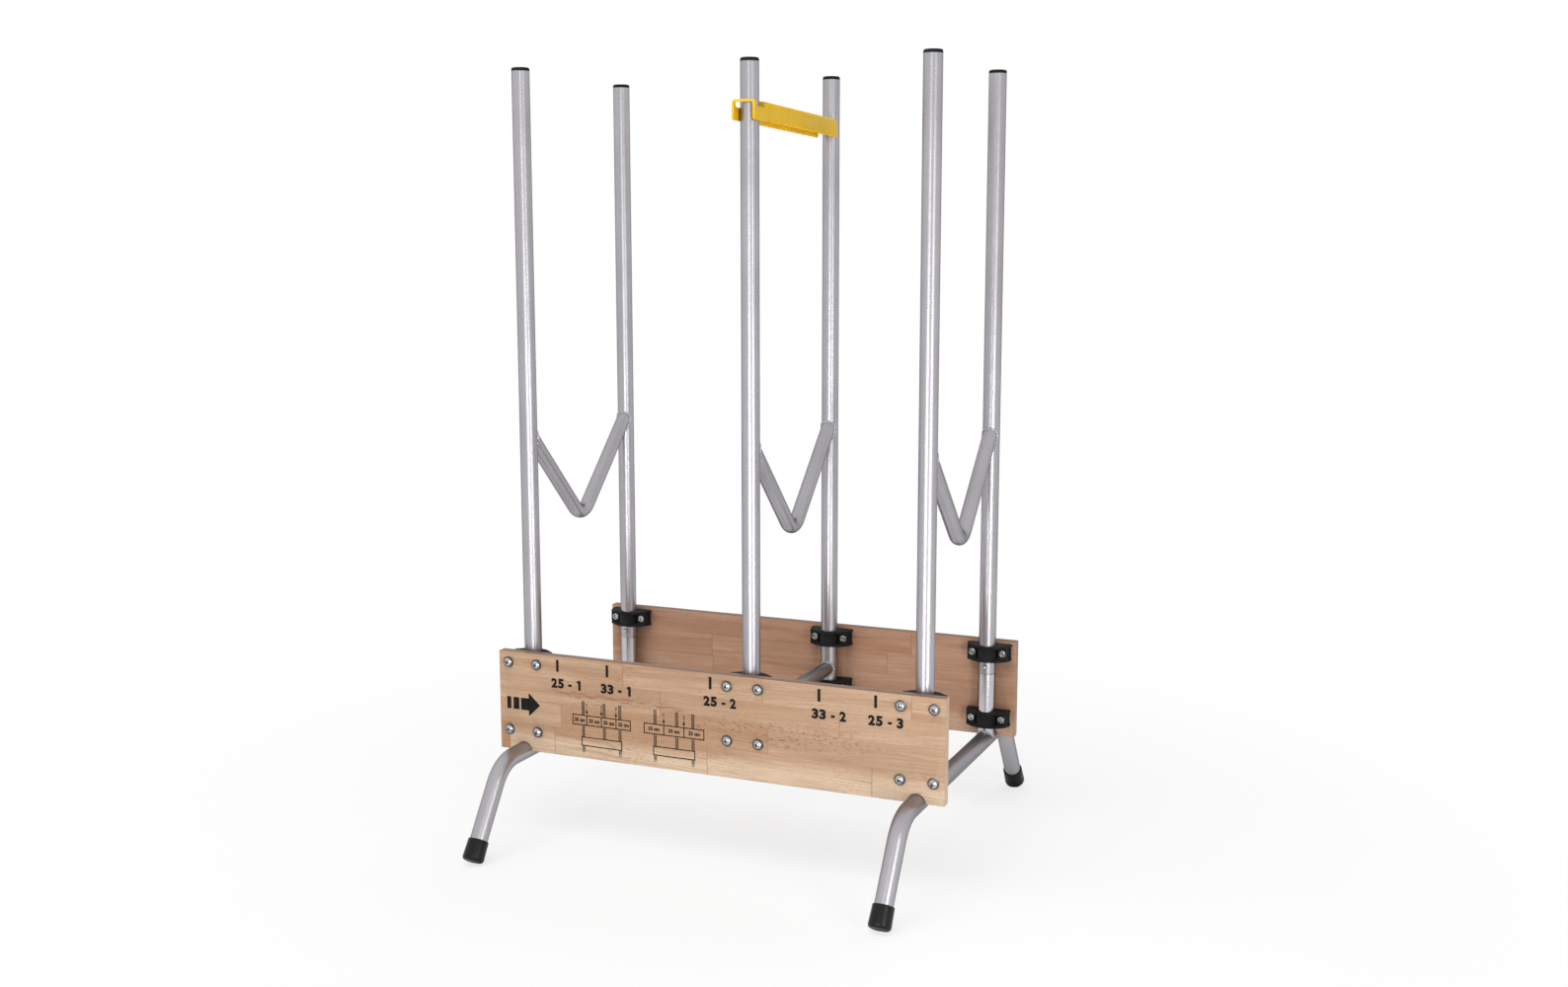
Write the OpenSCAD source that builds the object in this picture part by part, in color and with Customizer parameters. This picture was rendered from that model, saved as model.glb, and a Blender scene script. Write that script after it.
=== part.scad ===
// Log saw stand: three tube frames with V saddles on two bent leg frames, tied by two boards,
// with a toothed sheet-steel holder that slides on the middle front post.
// X runs along the boards, Y from front to rear, Z up from the floor.

/* [Frame] */
// Height to the top of the post caps
overall_height = 1133; // [1000:1:1200]
// Front post axis to rear post axis
frame_depth = 302; // [290:1:340]
// Distance of the end posts from the middle of boards of the usual length
end_post_x = 310; // [290:1:314]
// Distance of the middle posts from the middle of the boards
middle_post_x = 50; // [0:1:90]
// Outside diameter of the post and leg tube
tube_d = 26; // [24:0.5:28]
// Wall of the post and leg tube
tube_wall = 1.5; // [1:0.1:2]

/* [Boards] */
// Length of each board
board_length = 700; // [690:5:800]
// Height of each board
board_height = 150; // [140:1:180]
// Thickness of each board
board_thickness = 15; // [12:1:20]
// Height of the boards' lower edge above the floor
board_bottom = 130; // [120:1:150]
// Room around the leg tube in the half-round notch of a board
notch_gap = 0.8; // [0.5:0.1:4]

/* [Saddles] */
// Outside diameter of the saddle tube and the crossbar
saddle_d = 22; // [18:0.5:24]
// Wall of the saddle tube and the crossbar
saddle_wall = 1.5; // [1:0.1:2]
// Height of the point where the two arm axes of a saddle would meet
saddle_corner_z = 456; // [400:1:500]
// Rise of the saddle arms from the horizontal, in degrees
saddle_angle = 45; // [40:1:50]
// Bend radius of a saddle on the tube axis
saddle_bend_r = 28; // [22:1:40]
// Height of the crossbar axis above the lower screws of the middle posts
crossbar_rise = 30.5; // [28:0.5:34]
// Length of the middle posts below their lower screws
middle_post_tail = 20; // [15:1:30]

/* [Legs] */
// Height of the boards' lower edge above the axis of the legs' cross run
leg_run_drop = 0.5; // [0:0.5:6]
// Distance from the middle to where the axes of the cross run and a leg would meet
leg_corner_y = 246; // [240:1:280]
// Lean of a leg from the vertical, in degrees
leg_lean = 34; // [20:1:38]
// Bend radius of a leg on the tube axis
leg_bend_r = 60; // [50:1:75]

/* [Feet] */
// Diameter of a rubber foot at its rounded end
foot_d = 31.5; // [29.5:0.5:36]
// Diameter of a rubber foot at its open end
foot_mouth_d = 30; // [29:0.5:34]
// Length of a rubber foot along the leg
foot_height = 31; // [24:1:40]
// Rubber under the end of the leg
foot_floor = 5; // [4:0.5:8]
// Rounding of the end of a rubber foot
foot_edge_r = 5; // [3:0.5:6]
// How far the floor flattens a rubber foot
foot_flat = 1.2; // [0.8:0.1:2]

/* [Post caps] */
// Height of the rim that shows above the post
cap_rim = 5; // [3:0.5:8]
// Rounding of the rim's upper edge
cap_edge_r = 2.5; // [1:0.5:3]
// Length of the plug inside the post
cap_plug = 14; // [8:1:25]
// Wall of the plug
cap_wall = 1.6; // [1:0.1:2.5]

/* [Clamps] */
// Width of a clamp along the board
clamp_width = 68; // [66:1:76]
// Height of a clamp
clamp_height = 24.5; // [22:0.5:30]
// Plastic between the post and the board
clamp_back = 4; // [2:0.5:6]
// Plastic over the inner side of the post
clamp_front = 3; // [2.5:0.5:5]
// Depth of a clamp at its two ends
clamp_end_depth = 9; // [6:0.5:12]
// Thickness of the two D-shaped plates
clamp_plate = 3.5; // [2.5:0.5:5]
// Step from the edge of the plates in to the band and the ends
clamp_step = 1.2; // [0.5:0.1:2]
// Thickness of the wall along the board
clamp_wall = 3; // [2:0.5:4]
// Width of the tower that holds a nut
tower_width = 14; // [13:0.5:16]
// Depth of the tower from the board
tower_depth = 19.5; // [16:0.5:22]

/* [Screws] */
// Distance between the two screws of a clamp
screw_pitch = 48; // [46:1:52]
// Distance of the upper screws below the boards' upper edge
upper_row_inset = 16; // [14:0.5:20]
// Height of the end posts' lower screws above the boards' lower edge
end_row_inset = 30.5; // [28:0.5:40]
// Height of the middle posts' lower screws above the boards' lower edge
middle_row_inset = 54.5; // [45:0.5:60]
// Diameter of a screw
screw_d = 6; // [5:0.5:6.5]
// Diameter of a screw head
head_d = 12.5; // [11:0.5:14]
// Height of a screw head
head_height = 4.4; // [3.5:0.1:5.5]
// Length of each arm of the cross recess in a head
recess_reach = 3.8; // [3:0.1:4.5]
// Width of the arms of the cross recess
recess_width = 1.8; // [1.2:0.1:2.2]
// Depth of the cross recess
recess_depth = 2.4; // [1.5:0.1:3]
// Diameter of a washer
washer_d = 16; // [14:0.5:18]
// Thickness of a washer
washer_thickness = 1.6; // [1:0.1:2]
// Width of a nut across its flats
nut_flats = 10; // [9:0.5:10.5]
// Height of a nut
nut_height = 5; // [4:0.5:6]

/* [Snap joints] */
// Distance from the upper screws down to the joint of an end post
joint_drop = 31; // [28:0.5:40]
// Length of the drawn-in end of a leg stub inside the post
spigot_length = 50; // [40:1:70]
// Height of a snap button above the joint
button_rise = 11; // [9:0.5:13]
// Diameter of a snap button
button_d = 7; // [6:0.5:8]
// How far a snap button stands out of the post
button_proud = 3.5; // [3:0.5:4.5]
// Diameter of the collar that stops a snap button
collar_d = 9.5; // [9:0.5:11]
// Thickness of that collar
collar_thickness = 1; // [0.6:0.1:1.4]
// Thickness of the leaf spring
leaf_thickness = 0.8; // [0.5:0.1:1]
// Width of the leaf spring
leaf_width = 8; // [6:0.5:9]
// Length of the leaf spring's legs
leaf_length = 34; // [25:1:45]

/* [Log holder] */
// Distance of the holder's upper face below the top of the post
holder_drop = 57; // [50:1:120]
// Width of the folded channel
holder_width = 34; // [33:0.5:38]
// Height of the channel's two toothed flanges
holder_height = 27; // [24:0.5:34]
// Thickness of the sheet
holder_sheet = 3; // [2:0.5:3]
// Outside radius of the two folds
holder_fold_r = 4.5; // [4:0.5:6]
// Front edge of the holder, from the post axis
holder_front = 21.5; // [20:0.5:26]
// Front edge of the opening for the post, from the post axis
window_front = 16; // [15:0.5:17]
// Rear edge of the opening for the post, from the post axis
window_rear = 15; // [14.5:0.5:18]
// Depth of the opening into the flanges
window_depth = 9.5; // [7:0.5:12]
// Rounding of the opening's corners
window_r = 4; // [2:0.5:5]
// Gap between the holder's tail and the rear post
tail_gap = 4; // [2:0.5:10]
// Rounding of the tail's upper corner
tail_r = 14; // [8:1:18]
// Rounding of the flanges' lower corners
nose_r = 5; // [3:0.5:7]
// Pitch of the teeth
tooth_pitch = 10; // [6:0.5:14]
// Depth of the teeth
tooth_depth = 5; // [3:0.5:7]
// Start of the teeth, from the post axis
first_tooth = 20; // [18:1:40]
// Slope of the holder towards its tail, in degrees
holder_tilt = 1.5; // [0:0.1:2]

/* [Hidden] */
// Number of sides that stand for a full round
$fn = 64;
// Number of sides of a nut
nut_sides = 6;
// Usual length of the boards; on longer or shorter ones the end frames keep their place at the ends
usual_board_length = 700;
// Room between pieces that fit over each other, on each side
fit_gap = 0.15;
// Room at a welded seam
weld_gap = 0.1;
// Room around a screw or button in its hole, on each side
hole_gap = 0.25;
// How much a tube is drawn thinner in its bends
bend_draw = 0.3;
// How far a bend runs into the straight tube at each end
bend_lap = 0.4;
// How far a cut runs past the piece that it cuts
overrun = 1;
// Depth of a nut's outer face in its pocket
nut_recess = 0.5;
// Depth of a screw's end in its nut
tip_recess = 2;
// Length over which a leg stub is drawn in below its spigot
swage_length = 6;
// Chamfer on the outside of a tube's end at its joint
tube_edge = 0.6;
// Chamfer at the mouth of a spigot
spigot_lead = 1;
// Height of the straight rim under the dome of a screw head, as a share of the head
head_rim_share = 0.3;
// Width of a gullet between two teeth, as a share of the pitch
gullet_share = 0.85;
// Place of a gullet's highest point along the gullet, as a share of its width
gullet_peak_share = 0.35;
// Height of the leaf spring above the button axis, as a share of the button
leaf_top_share = 0.9;

side_names = ["front", "rear"];
side_signs = [-1, 1];
place_names = ["left", "middle", "right"];
end_x = end_post_x + (board_length - usual_board_length) / 2;
post_xs = [-end_x, middle_post_x, end_x];
end_places = [0, 2];

board_top = board_bottom + board_height;
board_inner = tube_d / 2 + clamp_back;
board_outer = board_inner + board_thickness;
upper_row_z = board_top - upper_row_inset;
end_row_z = board_bottom + end_row_inset;
middle_row_z = board_bottom + middle_row_inset;
lower_row_zs = [end_row_z, middle_row_z, end_row_z];

leg_run_z = board_bottom - leg_run_drop;
leg_turn = 90 - leg_lean;
leg_tangent = leg_bend_r * tan(leg_turn / 2);
// Height of the middle of a foot's end, so that the floor cuts the foot by foot_flat
foot_z = foot_edge_r * (1 - cos(leg_lean)) + sin(leg_lean) * (foot_d / 2 - foot_edge_r) - foot_flat;
leg_drop = leg_run_z - foot_z;
foot_y = leg_corner_y + leg_drop * tan(leg_lean);
leg_straight = leg_drop / cos(leg_lean) - leg_tangent - foot_floor;

cap_seat_z = overall_height - cap_rim;
tube_bore = tube_d - 2 * tube_wall;
joint_z = upper_row_z - joint_drop;
button_z = joint_z + button_rise;
spigot_r = tube_bore / 2 - fit_gap;
spigot_bore_r = spigot_r - tube_wall;
crossbar_z = middle_row_z + crossbar_rise;

clamp_depth = clamp_back + tube_d + clamp_front;
clamp_sag = clamp_depth - clamp_end_depth;
clamp_arc_r = (pow(clamp_width / 2, 2) + pow(clamp_sag, 2)) / (2 * clamp_sag);
clamp_front_y = -tube_d / 2 - clamp_front;
screw_tip = tower_depth - nut_recess - tip_recess;

collar_face = sqrt(pow(spigot_bore_r, 2) - pow(collar_d / 2, 2)) - fit_gap;
collar_back = collar_face - collar_thickness;
leaf_front = collar_back - fit_gap;
leaf_rear = sqrt(pow(spigot_bore_r, 2) - pow(leaf_width / 2, 2)) - fit_gap;
leaf_bend_r = (leaf_front + leaf_rear) / 2;

holder_z = overall_height - holder_drop;
holder_tail = frame_depth - tube_d / 2 - tail_gap;
tooth_count = floor((holder_tail - nose_r - first_tooth) / tooth_pitch);

function place(prefix, i, j) = str(prefix, "_", side_names[i], "_", place_names[j]);

// Puts a shape on a post: the board lies towards +Y of the shape, the load bay towards -Y.
module at_post(i, j, z = 0) {
    translate([post_xs[j], side_signs[i] * frame_depth / 2, z])
        rotate([0, 0, side_signs[i] < 0 ? 180 : 0])
            children();
}

// Turns a drawing so that its X is the stand's Y and its Y is the stand's Z.
module upright(x) {
    translate([x, 0, 0])
        rotate([90, 0, 90])
            children();
}

// Lays a shape that stands on Z along the direction of an angle in the drawing.
module along(angle) {
    rotate([0, 0, angle])
        rotate([0, 90, 0])
            children();
}

// Repeats a shape at every screw of one board.
module at_screws(i) {
    for (j = [0:2])
        for (z = [upper_row_z, lower_row_zs[j]])
            for (s = side_signs)
                at_post(i, j, z)
                    translate([s * screw_pitch / 2, 0, 0])
                        rotate([-90, 0, 0])
                            children();
}

module ring(d, wall) {
    difference() {
        circle(d = d);
        circle(d = d - 2 * wall);
    }
}

module straight_tube(d, wall, length) {
    linear_extrude(length)
        ring(d, wall);
}

// A bend of solid rod that starts on the drawing's X axis. It is drawn a little thinner than
// the straight rods at its ends and runs into both of them.
module rod_bend(d, r, turn) {
    lap = bend_lap / r * 180 / PI;
    rotate([0, 0, -lap])
        rotate_extrude(angle = turn + 2 * lap)
            translate([r, 0])
                circle(d = d - bend_draw);
}

// The waste outside a rounded corner whose sides run along +X and +Y.
module corner_waste(r) {
    difference() {
        translate([-overrun, -overrun])
            square(r + overrun);
        translate([r, r])
            circle(r = r);
    }
}

// The hole for a snap button in the wall that faces the load bay.
module button_hole() {
    translate([0, 0, button_z])
        rotate([90, 0, 0])
            cylinder(d = button_d + 2 * hole_gap, h = tube_d);
}

// Both posts of one frame, to shape the ends of what is welded between them.
module post_pair_waste(j) {
    for (i = [0, 1])
        at_post(i, j, board_bottom)
            cylinder(d = tube_d + 2 * weld_gap, h = overall_height - board_bottom);
}

module board(i) {
    color("burlywood")
        difference() {
            translate([-board_length / 2, side_signs[i] * (frame_depth / 2 + board_inner), board_bottom])
                translate([0, side_signs[i] < 0 ? -board_thickness : 0, 0])
                    cube([board_length, board_thickness, board_height]);
            at_screws(i)
                translate([0, 0, board_inner - overrun])
                    cylinder(d = screw_d + 2 * hole_gap, h = board_thickness + 2 * overrun);
            for (j = end_places)
                at_post(i, j, leg_run_z)
                    translate([0, board_inner - overrun, 0])
                        rotate([-90, 0, 0])
                            cylinder(d = tube_d + 2 * notch_gap, h = board_thickness + 2 * overrun);
        }
}

module post(i, j) {
    foot_end = j == 1 ? middle_row_z - middle_post_tail : joint_z;
    color("silver")
        at_post(i, j)
            difference() {
                rotate_extrude()
                    polygon([
                        [tube_bore / 2, foot_end],
                        [tube_d / 2 - tube_edge, foot_end],
                        [tube_d / 2, foot_end + tube_edge],
                        [tube_d / 2, cap_seat_z],
                        [tube_bore / 2, cap_seat_z]
                    ]);
                if (j != 1) button_hole();
            }
}

// The bent rod of a saddle: a bend at the bottom and two arms to the post axes.
module saddle_rod(d) {
    tangent = saddle_bend_r * tan(saddle_angle);
    arm = frame_depth / 2 / cos(saddle_angle);
    translate([0, saddle_corner_z + saddle_bend_r / cos(saddle_angle), 0])
        rotate([0, 0, -90 - saddle_angle])
            rod_bend(d, saddle_bend_r, 2 * saddle_angle);
    for (s = [0, 1])
        mirror([s, 0, 0])
            translate([0, saddle_corner_z, 0])
                along(saddle_angle)
                    translate([0, 0, tangent])
                        cylinder(d = d, h = arm - tangent);
}

module saddle(j) {
    color("silver")
        difference() {
            upright(post_xs[j])
                saddle_rod(saddle_d);
            upright(post_xs[j])
                saddle_rod(saddle_d - 2 * saddle_wall);
            post_pair_waste(j);
        }
}

module middle_crossbar() {
    color("silver")
        difference() {
            translate([middle_post_x, frame_depth / 2, crossbar_z])
                rotate([90, 0, 0])
                    straight_tube(saddle_d, saddle_wall, frame_depth);
            post_pair_waste(1);
        }
}

// The bent rod of a leg tube: the cross run, two bends and two legs that end past the given length.
module leg_rod(d, past_end = 0) {
    run = leg_corner_y - leg_tangent;
    translate([-run, leg_run_z, 0])
        along(0)
            cylinder(d = d, h = 2 * run);
    for (s = [0, 1])
        mirror([s, 0, 0]) {
            translate([run, leg_run_z - leg_bend_r, 0])
                rotate([0, 0, 90 - leg_turn])
                    rod_bend(d, leg_bend_r, leg_turn);
            translate([leg_corner_y, leg_run_z, 0])
                along(leg_lean - 90)
                    translate([0, 0, leg_tangent])
                        cylinder(d = d, h = leg_straight + past_end);
        }
}

module leg_tube(j) {
    color("silver")
        upright(post_xs[j])
            difference() {
                leg_rod(tube_d);
                leg_rod(tube_bore, overrun);
            }
}

module leg_stub(i, j) {
    top = joint_z + spigot_length;
    bore_r = tube_bore / 2;
    color("silver")
        at_post(i, j)
            difference() {
                rotate_extrude()
                    polygon([
                        [bore_r, leg_run_z],
                        [tube_d / 2, leg_run_z],
                        [tube_d / 2, joint_z - tube_edge],
                        [tube_d / 2 - tube_edge, joint_z],
                        [spigot_r, joint_z],
                        [spigot_r, top - spigot_lead],
                        [spigot_r - spigot_lead, top],
                        [spigot_bore_r, top],
                        [spigot_bore_r, joint_z],
                        [bore_r, joint_z - swage_length]
                    ]);
                translate([0, -tube_d, leg_run_z])
                    rotate([-90, 0, 0])
                        cylinder(d = tube_d + 2 * weld_gap, h = 2 * tube_d);
                button_hole();
            }
}

module foot_profile() {
    r = foot_d / 2;
    difference() {
        polygon([
            [0, 0],
            [r, 0],
            [r, foot_edge_r],
            [foot_mouth_d / 2, foot_height],
            [0, foot_height]
        ]);
        translate([r, 0])
            mirror([1, 0])
                corner_waste(foot_edge_r);
        translate([0, foot_floor])
            square([tube_d / 2 + fit_gap, foot_height]);
    }
}

module foot(i, j) {
    color("#1c1c1e")
        difference() {
            upright(post_xs[j])
                mirror([side_signs[i] < 0 ? 1 : 0, 0, 0])
                    translate([foot_y, foot_z, 0])
                        along(90 + leg_lean)
                            rotate_extrude()
                                foot_profile();
            at_post(i, j)
                translate([-foot_d, 0, -foot_d])
                    cube([2 * foot_d, foot_y, foot_d]);
        }
}

module post_cap(i, j) {
    plug_r = tube_bore / 2 - fit_gap;
    color("#202022")
        at_post(i, j, cap_seat_z)
            rotate_extrude()
                difference() {
                    union() {
                        square([tube_d / 2, cap_rim]);
                        translate([0, -cap_plug])
                            square([plug_r, cap_plug]);
                    }
                    translate([tube_d / 2, cap_rim])
                        rotate(180)
                            corner_waste(cap_edge_r);
                    translate([0, -cap_plug - overrun])
                        square([plug_r - cap_wall, cap_plug + overrun]);
                }
}

// One plate of a clamp: straight along the board and round towards the load bay.
module clamp_plate_outline() {
    intersection() {
        translate([0, clamp_front_y + clamp_arc_r])
            circle(r = clamp_arc_r);
        translate([-clamp_width / 2, clamp_front_y])
            square([clamp_width, clamp_depth]);
    }
}

// What stands between the plates: the band round the post, the wall along the board and two nut towers.
module clamp_core_outline() {
    band_r = tube_d / 2 + clamp_front - clamp_step;
    wall_width = clamp_width - 2 * clamp_step;
    circle(r = band_r);
    translate([-band_r, 0])
        square([2 * band_r, board_inner]);
    translate([-wall_width / 2, board_inner - clamp_wall])
        square([wall_width, clamp_wall]);
    for (s = side_signs)
        translate([s * screw_pitch / 2 - tower_width / 2, board_inner - tower_depth])
            square([tower_width, tower_depth]);
}

module nut_prism(flats, height) {
    rotate([0, 0, 180 / nut_sides])
        cylinder(d = flats / cos(180 / nut_sides), h = height, $fn = nut_sides);
}

module clamp(i, j, z) {
    color("#1f1f21")
        at_post(i, j, z)
            difference() {
                translate([0, 0, -clamp_height / 2]) {
                    linear_extrude(clamp_plate)
                        clamp_plate_outline();
                    linear_extrude(clamp_height)
                        clamp_core_outline();
                    translate([0, 0, clamp_height - clamp_plate])
                        linear_extrude(clamp_plate)
                            clamp_plate_outline();
                }
                translate([0, 0, -clamp_height])
                    cylinder(d = tube_d + 2 * fit_gap, h = 2 * clamp_height);
                for (s = side_signs)
                    translate([s * screw_pitch / 2, board_inner - tower_depth, 0])
                        rotate([-90, 0, 0]) {
                            cylinder(d = screw_d + 2 * hole_gap, h = tower_depth + overrun);
                            translate([0, 0, -overrun])
                                nut_prism(nut_flats + 2 * fit_gap, nut_height + nut_recess + overrun);
                        }
            }
}

module screw() {
    rim = head_height * head_rim_share;
    dome = head_height - rim;
    dome_r = (pow(head_d / 2, 2) + pow(dome, 2)) / (2 * dome);
    translate([0, 0, board_inner - screw_tip])
        cylinder(d = screw_d, h = screw_tip + board_thickness + washer_thickness);
    translate([0, 0, board_outer + washer_thickness])
        difference() {
            rotate_extrude()
                intersection() {
                    square([head_d / 2, head_height]);
                    translate([0, head_height - dome_r])
                        circle(r = dome_r);
                }
            for (turn = [0, 90])
                rotate([0, 0, turn])
                    translate([-recess_reach, -recess_width / 2, head_height - recess_depth])
                        cube([2 * recess_reach, recess_width, recess_depth + overrun]);
        }
}

module board_screws(i) {
    color("lightgray")
        at_screws(i)
            screw();
}

module screw_washers(i) {
    color("gray")
        at_screws(i)
            translate([0, 0, board_outer])
                straight_tube(washer_d, washer_d / 2 - screw_d / 2 - hole_gap, washer_thickness);
}

module clamp_nuts(i) {
    color("lightgray")
        at_screws(i)
            translate([0, 0, board_inner - tower_depth + nut_recess])
                difference() {
                    nut_prism(nut_flats, nut_height);
                    translate([0, 0, -overrun])
                        cylinder(d = screw_d + 2 * fit_gap, h = nut_height + 2 * overrun);
                }
}

module snap_button(i, j) {
    color("lightgray")
        at_post(i, j, button_z)
            rotate([90, 0, 0])
                rotate_extrude() {
                    translate([0, collar_back])
                        square([collar_d / 2, collar_thickness]);
                    translate([0, collar_back])
                        square([button_d / 2, tube_d / 2 + button_proud - button_d / 2 - collar_back]);
                    translate([0, tube_d / 2 + button_proud - button_d / 2])
                        intersection() {
                            circle(d = button_d);
                            square(button_d);
                        }
                }
}

// The outline of a hairpin: a round end at the bottom and straight sides above it.
module hairpin(r, leg) {
    circle(r = r);
    translate([-r, 0])
        square([2 * r, leg]);
}

module button_spring(i, j) {
    leg = leaf_length + button_d * leaf_top_share;
    color("silver")
        at_post(i, j, button_z - leaf_length)
            upright(0)
                translate([leaf_rear - leaf_bend_r, 0, -leaf_width / 2])
                    linear_extrude(leaf_width)
                        difference() {
                            hairpin(leaf_bend_r, leg);
                            hairpin(leaf_bend_r - leaf_thickness, leg + overrun);
                        }
}

// One gullet of the toothed edge, standing on the edge.
module gullet() {
    width = tooth_pitch * gullet_share;
    polygon([
        [0, -overrun],
        [width, -overrun],
        [width, 0],
        [width * gullet_peak_share, tooth_depth],
        [0, 0]
    ]);
}

// The holder seen from its side: post axis at X = 0, upper face at Y = 0.
module holder_side() {
    difference() {
        translate([-holder_front, -holder_height])
            square([holder_front + holder_tail, holder_height]);
        translate([-holder_front, -holder_height])
            corner_waste(nose_r);
        translate([holder_tail, -holder_height])
            rotate(90)
                corner_waste(nose_r);
        translate([holder_tail, 0])
            rotate(180)
                corner_waste(tail_r);
        for (k = [0:tooth_count - 1])
            translate([first_tooth + k * tooth_pitch, -holder_height])
                gullet();
        difference() {
            translate([-window_front, -window_depth])
                square([window_front + window_rear, window_depth + overrun]);
            translate([-window_front, -window_depth])
                corner_waste(window_r);
            translate([window_rear, -window_depth])
                rotate(90)
                    corner_waste(window_r);
        }
    }
}

// The folded sheet seen from its end: upper face at Y = 0.
module holder_section() {
    inner_r = holder_fold_r - holder_sheet;
    difference() {
        translate([-holder_width / 2, -holder_height])
            square([holder_width, holder_height]);
        for (s = [0, 1])
            mirror([s, 0])
                translate([holder_width / 2, 0])
                    rotate(180)
                        corner_waste(holder_fold_r);
        difference() {
            translate([-holder_width / 2 + holder_sheet, -holder_height - overrun])
                square([holder_width - 2 * holder_sheet, holder_height - holder_sheet + overrun]);
            for (s = [0, 1])
                mirror([s, 0])
                    translate([holder_width / 2 - holder_sheet, -holder_sheet])
                        rotate(180)
                            corner_waste(inner_r);
        }
    }
}

module log_holder() {
    color("goldenrod")
        translate([middle_post_x, -frame_depth / 2, holder_z])
            rotate([-holder_tilt, 0, 0])
                intersection() {
                    upright(-holder_width)
                        linear_extrude(2 * holder_width)
                            holder_side();
                    translate([0, holder_tail + overrun, 0])
                        rotate([90, 0, 0])
                            linear_extrude(holder_front + holder_tail + 2 * overrun)
                                holder_section();
                }
}

for (i = [0, 1]) {
    board(i);
    board_screws(i);
    screw_washers(i);
    clamp_nuts(i);
    for (j = [0:2]) {
        post(i, j);
        post_cap(i, j);
        clamp(i, j, upper_row_z);
        clamp(i, j, lower_row_zs[j]);
    }
    for (j = end_places) {
        leg_stub(i, j);
        foot(i, j);
        snap_button(i, j);
        button_spring(i, j);
    }
}
for (j = [0:2])
    saddle(j);
for (j = end_places)
    leg_tube(j);
middle_crossbar();
log_holder();
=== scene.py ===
import math

import bpy
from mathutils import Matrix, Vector


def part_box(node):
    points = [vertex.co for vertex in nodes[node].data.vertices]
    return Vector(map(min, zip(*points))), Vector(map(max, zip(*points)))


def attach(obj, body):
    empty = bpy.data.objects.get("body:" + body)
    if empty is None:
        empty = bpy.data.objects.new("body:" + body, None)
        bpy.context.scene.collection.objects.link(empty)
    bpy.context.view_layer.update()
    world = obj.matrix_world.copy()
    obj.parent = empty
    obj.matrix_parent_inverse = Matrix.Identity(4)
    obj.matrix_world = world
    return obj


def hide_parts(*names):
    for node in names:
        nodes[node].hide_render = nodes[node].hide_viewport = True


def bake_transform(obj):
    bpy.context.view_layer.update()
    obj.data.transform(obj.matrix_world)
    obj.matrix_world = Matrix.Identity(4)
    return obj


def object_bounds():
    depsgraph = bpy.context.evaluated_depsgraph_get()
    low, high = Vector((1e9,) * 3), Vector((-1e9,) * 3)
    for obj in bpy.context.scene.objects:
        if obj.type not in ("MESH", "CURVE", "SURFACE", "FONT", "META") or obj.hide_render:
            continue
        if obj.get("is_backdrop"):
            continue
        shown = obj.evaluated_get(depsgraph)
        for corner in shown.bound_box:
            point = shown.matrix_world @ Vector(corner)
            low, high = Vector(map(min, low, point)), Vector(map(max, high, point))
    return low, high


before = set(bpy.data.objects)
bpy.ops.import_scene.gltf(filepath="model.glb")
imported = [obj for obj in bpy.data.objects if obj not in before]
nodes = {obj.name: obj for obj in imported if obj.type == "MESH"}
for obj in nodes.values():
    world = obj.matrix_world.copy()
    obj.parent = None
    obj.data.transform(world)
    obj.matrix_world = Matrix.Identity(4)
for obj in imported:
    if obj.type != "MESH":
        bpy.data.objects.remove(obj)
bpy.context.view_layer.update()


# Leg tubes: a round steel tube under each end of the stand, bent to a flat arch with two splayed legs.
# Drawn tube, bent cold and coated with a satin silver paint, like the posts and saddles above it.
end_places = ("left", "right")
leg_lean = math.radians(34)
leg_bend = 0.060
bend_steps = 30
tube_resolution = 22
tube_smooth_angle = math.radians(40)


def set_input(tree, socket, value):
    """Links a node's output to a socket, or writes a plain value into it."""
    if isinstance(value, bpy.types.NodeSocket):
        tree.links.new(value, socket)
    else:
        socket.default_value = value


def add_node(tree, kind, inputs=None, **settings):
    """Adds a shader node with its settings and inputs."""
    made = tree.nodes.new(kind)
    for name, value in settings.items():
        setattr(made, name, value)
    for name, value in (inputs or {}).items():
        set_input(tree, made.inputs[name], value)
    return made


def mixed(tree, share, first, second, blend="MIX"):
    """Mixes two colours by a share; the node's colours go in at sockets 6 and 7 and come out at 2."""
    made = add_node(tree, "ShaderNodeMix", data_type="RGBA", blend_type=blend)
    for place, value in ((0, share), (6, first), (7, second)):
        set_input(tree, made.inputs[place], value)
    return made.outputs[2]


def ramp(tree, value, low, high, to_low=0.0, to_high=1.0):
    """Maps the stretch from low to high of a value to another stretch, and stops at its ends."""
    stretch = {"Value": value, "From Min": low, "From Max": high, "To Min": to_low, "To Max": to_high}
    return add_node(tree, "ShaderNodeMapRange", stretch).outputs["Result"]


def noise(tree, vector, scale, detail=2.0, distortion=0.0):
    """A soft noise value over the surface."""
    wanted = {"Vector": vector, "Scale": scale, "Detail": detail, "Distortion": distortion}
    return add_node(tree, "ShaderNodeTexNoise", wanted).outputs["Fac"]


def surface_grain_group():
    """A broad drift and a fine grain, both from 0 to 1, shared by every coated or moulded finish."""
    details = {"Broad": 4.0, "Fine": 2.0}
    usual_low = 0.3
    usual_high = 0.7
    group = bpy.data.node_groups.new("surface_grain", "ShaderNodeTree")
    for name in details:
        group.interface.new_socket(name + " Scale", in_out="INPUT", socket_type="NodeSocketFloat")
        group.interface.new_socket(name, in_out="OUTPUT", socket_type="NodeSocketFloat")
    given = add_node(group, "NodeGroupInput")
    result = add_node(group, "NodeGroupOutput")
    here = add_node(group, "ShaderNodeTexCoord").outputs["Object"]
    for name, detail in details.items():
        value = noise(group, here, given.outputs[name + " Scale"], detail)
        group.links.new(ramp(group, value, usual_low, usual_high), result.inputs[name])
    return group


surface_grain = surface_grain_group()


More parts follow.
